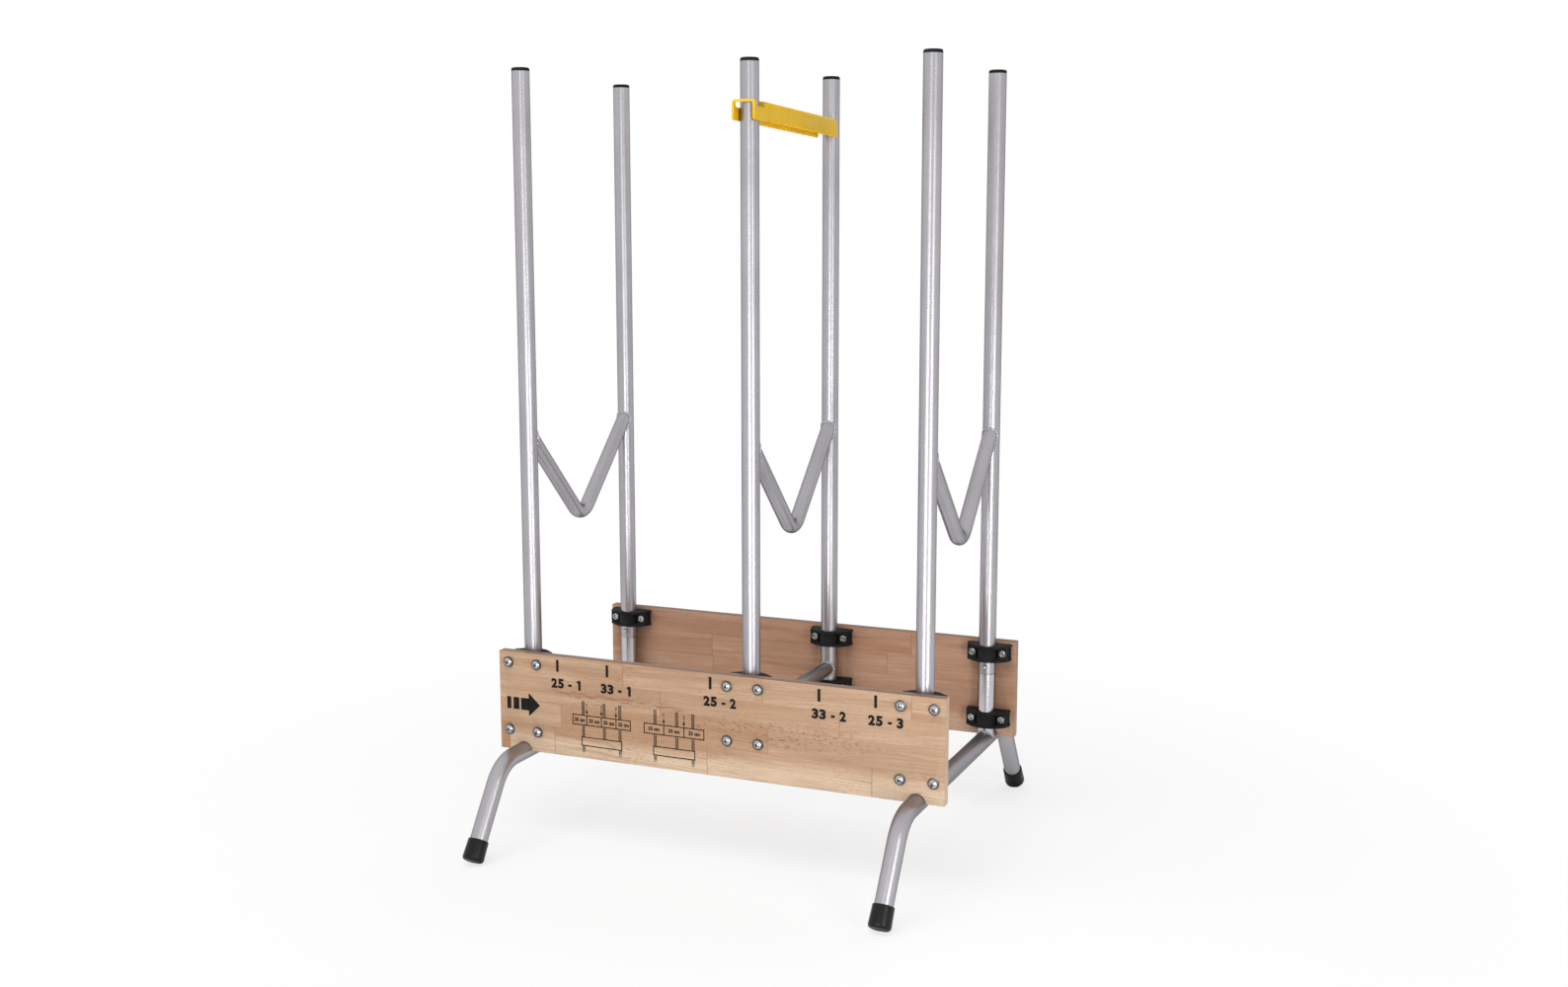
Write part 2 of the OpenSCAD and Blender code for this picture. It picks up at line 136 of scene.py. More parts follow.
def finish(name, dark, light, rough, grain_scales, bump, edge_tint=1.0, metallic=0.0, specular=0.5):
    """A finish whose tone and gloss drift a little over the surface, with a fine grain in relief."""
    material = bpy.data.materials.new(name)
    material.use_nodes = True
    tree = material.node_tree
    shader = tree.nodes["Principled BSDF"]
    scales = {"Broad Scale": grain_scales[0], "Fine Scale": grain_scales[1]}
    grain = add_node(tree, "ShaderNodeGroup", scales, node_tree=surface_grain)
    broad = grain.outputs["Broad"]
    fine = grain.outputs["Fine"]
    tone = mixed(tree, broad, (*dark, 1), (*light, 1))
    relief = add_node(tree, "ShaderNodeBump", {"Strength": bump[0], "Distance": bump[1], "Height": fine})
    set_input(tree, shader.inputs["Base Color"], tone)
    set_input(tree, shader.inputs["Roughness"], ramp(tree, broad, 0, 1, rough[1], rough[0]))
    set_input(tree, shader.inputs["Normal"], relief.outputs["Normal"])
    shader.inputs["Specular Tint"].default_value = (edge_tint, edge_tint, edge_tint, 1)
    shader.inputs["Metallic"].default_value = metallic
    shader.inputs["Specular IOR Level"].default_value = specular
    return material


silver_paint = finish(
    "silver_paint",
    dark=(0.385, 0.372, 0.396),
    light=(0.44, 0.426, 0.452),
    rough=(0.28, 0.36),
    grain_scales=(11, 1900),
    bump=(0.05, 0.0001),
    edge_tint=0.3,
    metallic=0.9,
)


def bent_path(corners, bend):
    """Points along a line through the corners, with each inner corner rounded to a bend."""
    points = [corners[0]]
    for before, corner, after in zip(corners, corners[1:], corners[2:]):
        back = (before - corner).normalized()
        ahead = (after - corner).normalized()
        half = back.angle(ahead) / 2
        centre = corner + (back + ahead).normalized() * bend / math.sin(half)
        first = corner + back * bend / math.tan(half) - centre
        last = corner + ahead * bend / math.tan(half) - centre
        for step in range(bend_steps + 1):
            points.append(centre + first.slerp(last, step / bend_steps).normalized() * bend)
    points.append(corners[-1])
    return points


def swept_tube(node, corners, bend, radius):
    """A smooth painted tube along a bent line, to stand for a CAD tube."""
    points = bent_path(corners, bend)
    bpy.ops.object.select_all(action="DESELECT")
    bpy.ops.curve.primitive_bezier_curve_add()
    tube = bpy.context.object
    tube.name = node + "_finished"
    tube.data.splines.clear()
    line = tube.data.splines.new("POLY")
    line.points.add(len(points) - 1)
    for spot, point in zip(line.points, points):
        spot.co = (*point, 1)
    tube.data.bevel_depth = radius
    tube.data.bevel_resolution = tube_resolution
    tube.data.use_fill_caps = True
    bpy.ops.object.convert(target="MESH")
    tube = bpy.context.object
    bpy.ops.object.shade_smooth_by_angle(angle=tube_smooth_angle)
    tube.data.materials.clear()
    tube.data.materials.append(silver_paint)
    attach(tube, "stand")
    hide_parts(node)


for place in end_places:
    low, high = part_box(f"leg_tube_{place}")
    tube_radius = (high.x - low.x) / 2
    leg_run_height = high.z - tube_radius
    leg_x = (low.x + high.x) / 2
    leg_end = Vector((leg_x, high.y, low.z))
    leg_end += tube_radius * Vector((0, -math.cos(leg_lean), math.sin(leg_lean)))
    leg_corner_y = leg_end.y - (leg_run_height - leg_end.z) * math.tan(leg_lean)
    rear_half = [Vector((leg_x, leg_corner_y, leg_run_height)), leg_end]
    front_half = [Vector((point.x, -point.y, point.z)) for point in reversed(rear_half)]
    swept_tube(f"leg_tube_{place}", front_half + rear_half, leg_bend, tube_radius)


# Leg stubs: short upright tubes welded on the leg tubes, drawn in at the top to enter the end posts.
# Plated steel tube, brighter than the painted posts, joined to the leg by a rough weld bead.
sides = {"front": -1, "rear": 1}
weld_segments = 96
weld_sides = 10
bead_radius = 0.0021
bead_ripples = 17
bead_ripple_share = 0.16
bead_drift = 1.7
flank_bead = 0.3
bead_growth = 0.8
plated_steel = finish(
    "plated_steel",
    dark=(0.49, 0.48, 0.50),
    light=(0.57, 0.56, 0.58),
    rough=(0.2, 0.28),
    grain_scales=(26, 1400),
    bump=(0.06, 0.0001),
    edge_tint=0.3,
    metallic=1.0,
)
weld_paint = finish(
    "weld_paint",
    dark=(0.30, 0.29, 0.31),
    light=(0.58, 0.57, 0.60),
    rough=(0.16, 0.42),
    grain_scales=(420, 900),
    bump=(0.6, 0.0006),
    metallic=0.9,
)


def coat(node, material):
    """Gives a CAD node's object its finish."""
    nodes[node].material_slots[0].material = material


def centre_of(node):
    """The middle of a CAD node's box."""
    low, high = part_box(node)
    return (low + high) / 2


def weld_bead(name, centre, axis, ring_radius, reach, swell=None):
    """A rippled bead round a tube end; reach gives how far along the axis the seam lies at a point."""
    bpy.ops.object.select_all(action="DESELECT")
    bpy.ops.mesh.primitive_torus_add(
        major_segments=weld_segments, minor_segments=weld_sides,
        major_radius=ring_radius, minor_radius=bead_radius,
    )
    bead = bpy.context.object
    bead.name = name
    turn = axis.to_track_quat("Z", "Y")
    for vertex in bead.data.vertices:
        angle = math.atan2(vertex.co.y, vertex.co.x)
        seam = Vector((math.cos(angle), math.sin(angle), 0)) * ring_radius
        ripple = bead_ripple_share * math.sin(bead_ripples * angle + bead_drift * math.sin(2 * angle))
        size = (1 + ripple) * (swell(angle) if swell else 1)
        moved = seam + (vertex.co - seam) * size
        moved.z += reach(turn @ seam)
        vertex.co = centre + turn @ moved
    bpy.ops.object.shade_smooth()
    bead.data.materials.append(weld_paint)
    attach(bead, "stand")


def stub_reach(seam):
    """The seam of two tubes of one width rises by its own distance from the crossing's middle."""
    return abs(seam.y)


def stub_swell(angle):
    """The bead is full before and behind the stub and thin on its flanks."""
    return flank_bead + bead_growth * abs(math.sin(angle))


upright = Vector((0, 0, 1))
for side in sides:
    for place in end_places:
        coat(f"leg_stub_{side}_{place}", plated_steel)
        seat = centre_of(f"leg_stub_{side}_{place}")
        seat.z = leg_run_height
        weld_bead(f"leg_weld_{side}_{place}", seat, upright, tube_radius, stub_reach, stub_swell)


# Feet: thick rubber caps pushed over the four leg ends, with a flat where they stand on the floor.
# Moulded black rubber, held by its own grip on the tube.
foot_edge = 0.0007
merge_reach = 0.000002
flat_angle = math.radians(0.4)
edge_angle = math.radians(32)
edge_segments = 2
foot_rubber = finish(
    "foot_rubber",
    dark=(0.003, 0.0029, 0.003),
    light=(0.005, 0.0048, 0.005),
    rough=(0.28, 0.42),
    grain_scales=(70, 1600),
    bump=(0.1, 0.0002),
    specular=0.24,
)


def rounded_copy(node, body, material, edge):
    """Copies a CAD node with its sharp edges rounded over, to stand for the node."""
    bpy.ops.object.select_all(action="DESELECT")
    piece = bpy.data.objects.new(node + "_finished", nodes[node].data.copy())
    bpy.context.scene.collection.objects.link(piece)
    bpy.context.view_layer.objects.active = piece
    piece.select_set(True)
    bpy.ops.mesh.customdata_custom_splitnormals_clear()
    bpy.ops.object.mode_set(mode="EDIT")
    bpy.ops.mesh.select_all(action="SELECT")
    bpy.ops.mesh.remove_doubles(threshold=merge_reach)
    bpy.ops.mesh.dissolve_limited(angle_limit=flat_angle)
    bpy.ops.object.mode_set(mode="OBJECT")
    bevel = piece.modifiers.new("rounded_edges", "BEVEL")
    bevel.width = edge
    bevel.segments = edge_segments
    bevel.limit_method = "ANGLE"
    bevel.angle_limit = edge_angle
    bpy.ops.object.modifier_apply(modifier=bevel.name)
    bpy.ops.object.shade_smooth_by_angle(angle=edge_angle)
    piece.data.materials.clear()
    piece.data.materials.append(material)
    if body:
        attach(piece, body)
    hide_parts(node)
    return piece


for side in sides:
    for place in end_places:
        rounded_copy(f"foot_{side}_{place}", "stand", foot_rubber, foot_edge)


# Snap buttons: domed steel pins that lock each end post on its stub, pushed out by a leaf spring inside.
# Turned and plated steel; the spring is a folded strip of hardened steel.
spring_edge = 0.0001
bright_zinc = finish(
    "bright_zinc",
    dark=(0.38, 0.392, 0.40),
    light=(0.50, 0.512, 0.52),
    rough=(0.14, 0.24),
    grain_scales=(160, 2600),
    bump=(0.05, 0.0001),
    edge_tint=0.4,
    metallic=1.0,
)
spring_strip = finish(
    "spring_strip",
    dark=(0.20, 0.21, 0.24),
    light=(0.30, 0.31, 0.34),
    rough=(0.2, 0.32),
    grain_scales=(60, 1500),
    bump=(0.05, 0.0001),
    metallic=1.0,
)
for side in sides:
    for place in end_places:
        coat(f"snap_button_{side}_{place}", bright_zinc)
        spring_node = f"button_spring_{side}_{place}"
        spring = rounded_copy(spring_node, None, spring_strip, spring_edge)
        low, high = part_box(spring_node)
        middle = (low + high) / 2
        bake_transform(spring)


# Posts, saddles and crossbar: six upright tubes in pairs, a V of thinner tube between the two of a pair,
# and a straight bar low between the middle two. Drawn tube, bent and welded into three frames, then
# painted satin silver over the weld beads.
places = ("left", "middle", "right")
saddle_bend = 0.028
arm_hold = 0.004
arm_low, arm_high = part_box("saddle_left")
arm_radius = (arm_high.x - arm_low.x) / 2


def first_touch(centre, axis, post):
    """A function that gives how far a line along the axis from a seam point runs to a post's wall."""
    flat_axis = Vector((axis.x, axis.y))
    flat_square = flat_axis.dot(flat_axis)

    def reach(seam):
        gap = Vector((centre.x + seam.x - post.x, centre.y + seam.y - post.y))
        along = gap.dot(flat_axis)
        outside = gap.dot(gap) - tube_radius**2
        return (-along - math.sqrt(along * along - flat_square * outside)) / flat_square

    return reach


for place in places:
    low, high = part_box(f"saddle_{place}")
    post = centre_of(f"post_rear_{place}")
    corner = Vector((post.x, 0, high.z - arm_radius * math.sqrt(2) - abs(post.y) + tube_radius))
    arm_reach = post.y - arm_hold
    front_end = corner + Vector((0, -arm_reach, arm_reach))
    rear_end = corner + Vector((0, arm_reach, arm_reach))
    swept_tube(f"saddle_{place}", [front_end, corner, rear_end], saddle_bend, arm_radius)
    for side, sign in sides.items():
        coat(f"post_{side}_{place}", silver_paint)
        arm_axis = Vector((0, sign, 1)).normalized()
        touch = first_touch(corner, arm_axis, centre_of(f"post_{side}_{place}"))
        weld_bead(f"saddle_weld_{side}_{place}", corner, arm_axis, arm_radius, touch)
coat("middle_crossbar", silver_paint)
bar_centre = centre_of("middle_crossbar")
for side, sign in sides.items():
    bar_axis = Vector((0, sign, 0))
    touch = first_touch(bar_centre, bar_axis, centre_of(f"post_{side}_middle"))
    weld_bead(f"crossbar_weld_{side}", bar_centre, bar_axis, arm_radius, touch)


# Post caps: round plugs pressed into the open tops of the six posts.
# Moulded black plastic with a hollow plug and a rounded rim.
black_plastic = finish(
    "black_plastic",
    dark=(0.012, 0.012, 0.0126),
    light=(0.019, 0.0187, 0.0197),
    rough=(0.62, 0.76),
    grain_scales=(45, 1300),
    bump=(0.1, 0.00015),
    specular=0.1,
)
for side in sides:
    for place in places:
        coat(f"post_cap_{side}_{place}", black_plastic)


# Boards: one in front of the posts and one behind them, with half-round notches over the leg tubes.
# Beech blocks glued end to end and side by side, planed and sawn, with square edges.
board_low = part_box("front_board")[0]
board_edge = 0.0006
strip_height = 0.0365
strip_lift = 0.0055
least_strip_place = 0.02
strip_seed = 3.7
block_lengths = (0.19, 0.36)
block_shift = 0.4
butt_joint_width = 0.0012
strip_joint_width = 0.0005
grain_slope = 0.05
fleck_centre = (0.088, 0, board_low.z + 0.0715)
fleck_patch = (5.6, 0, 50)
vein_z = 0.2203
vein_x = -0.15
vein_half = 0.0022
vein_soft = 0.0050
vein_reach = 0.085
vein_fade = 0.045
vein_slope = 0.024
vein_wave = 0.004
corner_block_end = -0.3338
corner_block_soft = 0.0007
pale_beech = (0.585, 0.398, 0.264, 1)
warm_beech = (0.445, 0.266, 0.157, 1)
# the rear board darker and redder: partly a pinker batch of beech, partly painted shade
rear_shade_and_tint = (0.90, 0.80, 0.80, 1)
# end grain tones: the front board's pale as painted light, the rear board's dark as painted shade
lit_front_end_tone = (0.64, 0.475, 0.35, 1)
shaded_rear_end_tone = (0.36, 0.235, 0.165, 1)
# a dark tone for the top and bottom faces of the boards
top_and_bottom_tone = (0.15, 0.09, 0.06, 1)


def calc(tree, operation, first, second=0.0):
    """A sum on one or two values or outputs."""
    made = add_node(tree, "ShaderNodeMath", operation=operation)
    set_input(tree, made.inputs[0], first)
    set_input(tree, made.inputs[1], second)
    return made.outputs[0]


def beech_finish():
    """Glued beech: rows of blocks that differ in tone and grain, with rays, streaks and fine joints."""
    material = bpy.data.materials.new("glued_beech")
    material.use_nodes = True
    tree = material.node_tree
    shader = tree.nodes["Principled BSDF"]
    coords = add_node(tree, "ShaderNodeTexCoord")
    here = coords.outputs["Object"]
    spot = add_node(tree, "ShaderNodeSeparateXYZ", {"Vector": here}).outputs
    facing = add_node(tree, "ShaderNodeSeparateXYZ", {"Vector": coords.outputs["Normal"]}).outputs

    def product(first, second):
        return calc(tree, "MULTIPLY", first, second)

    def random_at(x, y, z):
        seed = add_node(tree, "ShaderNodeCombineXYZ", {"X": x, "Y": y, "Z": z}).outputs[0]
        return add_node(tree, "ShaderNodeTexWhiteNoise", {"Vector": seed}, noise_dimensions="3D").outputs

    def vector_calc(operation, first, second):
        made = add_node(tree, "ShaderNodeVectorMath", operation=operation)
        set_input(tree, made.inputs[0], first)
        set_input(tree, made.inputs[1], second)
        return made.outputs[0]

    def stretched_noise(vector, stretch, detail, distortion=0.0):
        """A noise with its own fineness along, through and up the board."""
        return noise(tree, vector_calc("MULTIPLY", vector, stretch), 1.0, detail, distortion)

    def near_edge(place, size, width):
        """1 on the joints between cells of a size, fading out over a width."""
        part = calc(tree, "FRACT", place)
        edge = calc(tree, "MINIMUM", part, calc(tree, "SUBTRACT", 1.0, part))
        return ramp(tree, product(edge, size), 0.0, width, 1.0, 0.0)

    def band(place, centre, reach, soft):
        """1 where a value lies within reach of a centre, fading out over a soft edge."""
        off = calc(tree, "ABSOLUTE", calc(tree, "SUBTRACT", place, centre))
        return ramp(tree, off, reach, reach + soft, 1.0, 0.0)

    which_board = calc(tree, "SIGN", spot["Y"])
    on_front = ramp(tree, which_board, -1, 1, 1.0, 0.0)
    on_rear = ramp(tree, which_board, -1, 1)
    printed_face = product(on_front, ramp(tree, facing["Y"], -0.9, -0.6, 1.0, 0.0))

    # Rows of blocks, each with its own tone, its own slope of the grain and its own piece of the noise.
    above = calc(tree, "SUBTRACT", spot["Z"], board_low.z + strip_lift)
    strip_place = calc(tree, "MAXIMUM", calc(tree, "DIVIDE", above, strip_height), least_strip_place)
    strip = calc(tree, "FLOOR", strip_place)
    of_strip = random_at(strip, which_board, strip_seed)
    block_length = ramp(tree, of_strip["Value"], 0, 1, block_lengths[0], block_lengths[1])
    block_start = calc(tree, "ADD", of_strip["Value"], block_shift)
    block_place = calc(tree, "DIVIDE", calc(tree, "ADD", spot["X"], block_start), block_length)
    of_block = random_at(strip, calc(tree, "FLOOR", block_place), which_board)
    tone = of_block["Value"]
    butt_joint = near_edge(block_place, block_length, butt_joint_width)
    joint = calc(tree, "MAXIMUM", butt_joint, near_edge(strip_place, strip_height, strip_joint_width))
    slope = ramp(tree, tone, 0, 1, -grain_slope, grain_slope)
    leaned = {"X": spot["X"], "Y": spot["Y"], "Z": calc(tree, "ADD", spot["Z"], product(spot["X"], slope))}
    grain_place = add_node(tree, "ShaderNodeCombineXYZ", leaned).outputs[0]
    grain_place = vector_calc("ADD", grain_place, of_block["Color"])

    # Figure, fine lines, streaks and specks along the grain, and red patches across the blocks.
    figure = ramp(tree, stretched_noise(grain_place, (3.0, 46, 46), 5.0, 1.0), 0.32, 0.68)
    lines = ramp(tree, stretched_noise(grain_place, (14, 560, 560), 3.0), 0.34, 0.66)
    streaks = ramp(tree, stretched_noise(grain_place, (4.5, 70, 70), 6.0, 0.8), 0.6, 0.74)
    specks = ramp(tree, stretched_noise(grain_place, (150, 900, 900), 0.0), 0.7, 0.8)
    red = ramp(tree, stretched_noise(here, (11, 26, 26), 3.0, 0.6), 0.52, 0.7)

    # Short ray flecks: a patch of them on the printed face, and a few strays elsewhere.
    rays = ramp(tree, stretched_noise(grain_place, (125, 400, 400), 1.0), 0.57, 0.64)
    fleck_place = vector_calc("MULTIPLY", vector_calc("SUBTRACT", here, fleck_centre), fleck_patch)
    fleck_reach = add_node(tree, "ShaderNodeVectorMath", {"Vector": fleck_place}, operation="LENGTH")
    patch = product(ramp(tree, fleck_reach.outputs["Value"], 0.45, 1.2, 1.0, 0.0), printed_face)
    strays = ramp(tree, noise(tree, here, 9.0, 2.0), 0.5, 0.66, 0.04, 0.35)
    rays = product(rays, calc(tree, "MAXIMUM", patch, strays))

    # A broken dark vein and a brown corner block, both on the front board.
    wave = ramp(tree, stretched_noise(here, (22, 0, 0), 3.0), 0, 1, -vein_wave, vein_wave)
    vein_line = calc(tree, "ADD", calc(tree, "ADD", spot["Z"], wave), product(spot["X"], vein_slope))
    vein_height = band(vein_line, vein_z, vein_half, vein_soft)
    vein = product(vein_height, band(spot["X"], vein_x, vein_reach, vein_fade))
    broken = ramp(tree, stretched_noise(here, (48, 0, 420), 2.0), 0.44, 0.60, 0.06, 1.0)
    vein = product(product(vein, broken), on_front)
    corner_x = ramp(tree, spot["X"], corner_block_end - corner_block_soft, corner_block_end, 1.0, 0.0)
    corner = product(product(corner_x, on_front), ramp(tree, strip_place, 0.99, 1.0, 1.0, 0.0))

    # Each layer's place, strength and tint, from the blocks' own tones to the joints.
    red_blocks = ramp(tree, tone, 0.76, 0.97)
    cream_blocks = ramp(tree, tone, 0.0, 0.4, 1.0, 0.0)
    sapwood = ramp(tree, strip_place, 0.35, 0.85, 1.0, 0.0)
    dark_lines = ramp(tree, lines, 0, 1, 1.0, 0.0)
    layers = (
        (red_blocks, 0.7, (0.47, 0.255, 0.14, 1)),
        (cream_blocks, 0.4, (0.60, 0.435, 0.30, 1)),
        (red, 0.4, (0.50, 0.285, 0.175, 1)),
        (sapwood, 0.85, (0.76, 0.585, 0.42, 1)),
        (corner, 0.85, (0.45, 0.225, 0.095, 1)),
        (streaks, 0.66, (0.37, 0.185, 0.095, 1)),
        (dark_lines, 0.42, (0.35, 0.195, 0.108, 1)),
        (rays, 0.85, (0.25, 0.125, 0.065, 1)),
        (specks, 0.45, (0.30, 0.165, 0.10, 1)),
        (vein, 0.9, (0.29, 0.135, 0.07, 1)),
        (joint, 0.7, (0.33, 0.155, 0.08, 1)),
    )
    wood = mixed(tree, figure, warm_beech, pale_beech)
    for where, strength, tint in layers:
        wood = mixed(tree, product(where, strength), wood, tint)
    # The rear board is made darker and redder: partly a pinker batch of beech, partly painted shade.
    wood = mixed(tree, on_rear, wood, rear_shade_and_tint, "MULTIPLY")
    # End faces get their own end-grain tone: pale on the front board as painted light, dark on the rear
    # board as painted shade.
    end_face = ramp(tree, calc(tree, "ABSOLUTE", facing["X"]), 0.6, 0.9, 0.0, 0.55)
    wood = mixed(tree, end_face, wood, mixed(tree, on_rear, lit_front_end_tone, shaded_rear_end_tone))
    # The top and bottom faces of both boards are made much darker.
    top_and_bottom_darkening = ramp(tree, calc(tree, "ABSOLUTE", facing["Z"]), 0.6, 0.9, 0.0, 0.8)
    wood = mixed(tree, top_and_bottom_darkening, wood, top_and_bottom_tone)

    height = calc(tree, "SUBTRACT", product(lines, 0.35), calc(tree, "MAXIMUM", rays, joint))
    relief = add_node(tree, "ShaderNodeBump", {"Strength": 0.22, "Distance": 0.0004, "Height": height})
    set_input(tree, shader.inputs["Base Color"], wood)
    set_input(tree, shader.inputs["Roughness"], ramp(tree, lines, 0, 1, 0.6, 0.48))
    set_input(tree, shader.inputs["Normal"], relief.outputs["Normal"])
    shader.inputs["Specular IOR Level"].default_value = 0.35
    return material


glued_beech = beech_finish()
for side in sides:
    rounded_copy(f"{side}_board", "stand", glued_beech, board_edge)


# Print on the front board: cut marks at the quarters and thirds of a metre, an arrow and two plans.
# Matt black ink, screen printed on the planed face.
ink_depth = 0.00012
ink_merge_reach = 0.000001
figure_resolution = 4
board_face = board_low.y
ink_pieces = []
board_ink = finish(
    "board_ink",
    dark=(0.005, 0.0045, 0.004),
    light=(0.010, 0.009, 0.008),
    rough=(0.55, 0.7),
    grain_scales=(300, 2400),
    bump=(0.2, 0.0001),
    specular=0.15,
)


def ink_bar(x_low, x_high, z_low, z_high):
    """A flat bar of ink on the front face."""
    middle = ((x_low + x_high) / 2, board_face, (z_low + z_high) / 2)
    bpy.ops.object.select_all(action="DESELECT")
    reach = (x_high - x_low, 2 * ink_depth, z_high - z_low)
    bpy.ops.mesh.primitive_cube_add(size=1, location=middle, scale=reach)
    bpy.ops.object.transform_apply(location=True, rotation=True, scale=True)
    ink_pieces.append(bpy.context.object)


def ink_frame(x_low, x_high, z_low, z_high, line):
    """The outline of a rectangle."""
    ink_bar(x_low, x_high, z_low, z_low + line)
    ink_bar(x_low, x_high, z_high - line, z_high)
    ink_bar(x_low, x_low + line, z_low, z_high)
    ink_bar(x_high - line, x_high, z_low, z_high)


def ink_wedge(x, z, half_width, depth, turn):
    """A triangle of ink: turn 0 points right and a quarter turn back points down."""
    bpy.ops.object.select_all(action="DESELECT")
    bpy.ops.mesh.primitive_cylinder_add(vertices=3, radius=1, depth=2 * ink_depth)
    wedge = bpy.context.object
    bpy.ops.object.transform_apply(location=True, rotation=True, scale=True)
    low = min(vertex.co.y for vertex in wedge.data.vertices)
    high = max(vertex.co.y for vertex in wedge.data.vertices)
    widest = max(vertex.co.x for vertex in wedge.data.vertices)
    for vertex in wedge.data.vertices:
        along = (vertex.co.y - low) / (high - low) * depth
        across = vertex.co.x / widest * half_width
        right = along * math.cos(turn) + across * math.sin(turn)
        up = along * math.sin(turn) - across * math.cos(turn)
        vertex.co = (x + right, board_face + vertex.co.z, z + up)
    bpy.ops.object.mode_set(mode="EDIT")
    bpy.ops.mesh.select_all(action="SELECT")
    bpy.ops.mesh.normals_make_consistent(inside=False)
    bpy.ops.object.mode_set(mode="OBJECT")
    ink_pieces.append(wedge)


def ink_figures(text, x_low, x_high, z_low, height, weight):
    """Figures that start at x_low, stand on z_low and fill the given width and height."""
    bpy.ops.object.select_all(action="DESELECT")
    bpy.ops.object.text_add()
    label = bpy.context.object
    label.data.body = text
    label.data.extrude = ink_depth
    label.data.offset = weight
    label.data.resolution_u = figure_resolution
    bpy.ops.object.convert(target="MESH")
    label = bpy.context.object
    spots = [vertex.co for vertex in label.data.vertices]
    left = min(spot.x for spot in spots)
    right = max(spot.x for spot in spots)
    bottom = min(spot.y for spot in spots)
    top = max(spot.y for spot in spots)
    for vertex in label.data.vertices:
        x = x_low + (vertex.co.x - left) / (right - left) * (x_high - x_low)
        z = z_low + (vertex.co.y - bottom) / (top - bottom) * height
        vertex.co = (x, board_face - vertex.co.z, z)
    bpy.ops.object.mode_set(mode="EDIT")
    bpy.ops.mesh.select_all(action="SELECT")
    bpy.ops.mesh.remove_doubles(threshold=ink_merge_reach)
    bpy.ops.mesh.normals_make_consistent(inside=False)
    bpy.ops.object.mode_set(mode="OBJECT")
    ink_pieces.append(label)


def ink_one(x_low, x_high, z_low, height, stroke):
    """A figure 1 with a flag, which the plain font lacks."""
    flag_share = 0.16
    stem_x = x_high - stroke
    ink_bar(stem_x, x_high, z_low, z_low + height)
    ink_wedge(stem_x, z_low + height * (1 - flag_share), height * flag_share, stem_x - x_low, math.pi)


def join_ink(name):
    """Joins the bars, wedges and figures made so far into one printed piece."""
    bpy.ops.object.select_all(action="DESELECT")
    for part in ink_pieces:
        part.select_set(True)
    bpy.context.view_layer.objects.active = ink_pieces[0]
    bpy.ops.object.join()
    piece = bpy.context.object
    piece.name = name
    piece.data.materials.clear()
    piece.data.materials.append(board_ink)
    ink_pieces.clear()
    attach(piece, "stand")


full_length = 1.0
part_counts = (4, 3)
tick_width = 0.0043
tick_low = 0.257
tick_high = 0.275
label_z = 0.232
label_height = 0.0147
label_weight = 0.056
digit_start = -0.0107
digit_pitch = 0.0112
digit_width = 0.0100
dash_start = 0.0178
dash_end = 0.0238
dash_low = 0.0042
dash_high = 0.0076
one_start = 0.0316
one_end = 0.0388
one_stroke = 0.0041
cut_start = 0.0308
cut_end = 0.0402
for parts in part_counts:
    for cut in range(1, parts):
        x = full_length * (cut / parts - 0.5)
        ink_bar(x - tick_width / 2, x + tick_width / 2, tick_low, tick_high)
        for place, digit in enumerate(str(100 // parts)):
            digit_x = x + digit_start + digit_pitch * place
            ink_figures(digit, digit_x, digit_x + digit_width, label_z, label_height, label_weight)
        ink_bar(x + dash_start, x + dash_end, label_z + dash_low, label_z + dash_high)
        if cut == 1:
            ink_one(x + one_start, x + one_end, label_z, label_height, one_stroke)
        else:
            ink_figures(str(cut), x + cut_start, x + cut_end, label_z, label_height, label_weight)
join_ink("cut_marks")

arrow_z = 0.2015
arrow_bars = ((-0.338, -0.331), (-0.327, -0.317), (-0.314, -0.300))
arrow_bar_half = 0.0092
arrow_head_x = -0.3005
arrow_head_half = 0.018
arrow_head_depth = 0.0195
for bar_start, bar_end in arrow_bars:
    ink_bar(bar_start, bar_end, arrow_z - arrow_bar_half, arrow_z + arrow_bar_half)
ink_wedge(arrow_head_x, arrow_z, arrow_head_half, arrow_head_depth, 0)
join_ink("load_arrow")

plan_starts = {4: -0.226, 3: -0.1072}
plan_width = 0.0975
plan_line = 0.0015
fine_line = 0.0008
post_line_x = 0.0018
rung_half = 0.0014
rung_pitch = 0.0016
plan_bar_low = 0.180
plan_bar_high = 0.196
plan_cut_low = 0.1812
plan_cut_high = 0.1948
pointer_z = 0.2022
pointer_half = 0.0022
pointer_depth = 0.0058
pointer_stem = 0.0010
pointer_top = 0.2066
number_z = 0.2082
number_height = 0.0050
number_half = 0.0014
number_weight = 0.03
number_one_start = -0.0013
number_one_end = 0.0005
number_one_stroke = 0.0010
length_z = 0.1852
length_height = 0.0058
length_half = 0.0090
length_weight = 0.05
board_plan_start = 0.0148
board_plan_end = 0.0828
board_plan_low = 0.1485
board_plan_high = 0.163
post_insets = (0.0185, 0.0535, 0.0795)
post_plan_top = 0.217
leg_plan_low = 0.1432
foot_plan_low = 0.1388
foot_plan_size = 0.0044


def ink_post(x, z_low, z_high):
    """A post of the plan: two lines with a hatch of short bars between them."""
    for edge_x in (x - post_line_x, x + post_line_x):
        ink_bar(edge_x - fine_line / 2, edge_x + fine_line / 2, z_low, z_high)
    for rung in range(int((z_high - z_low) / rung_pitch)):
        z = z_low + (rung + 0.5) * rung_pitch
        ink_bar(x - rung_half, x + rung_half, z - fine_line / 2, z + fine_line / 2)


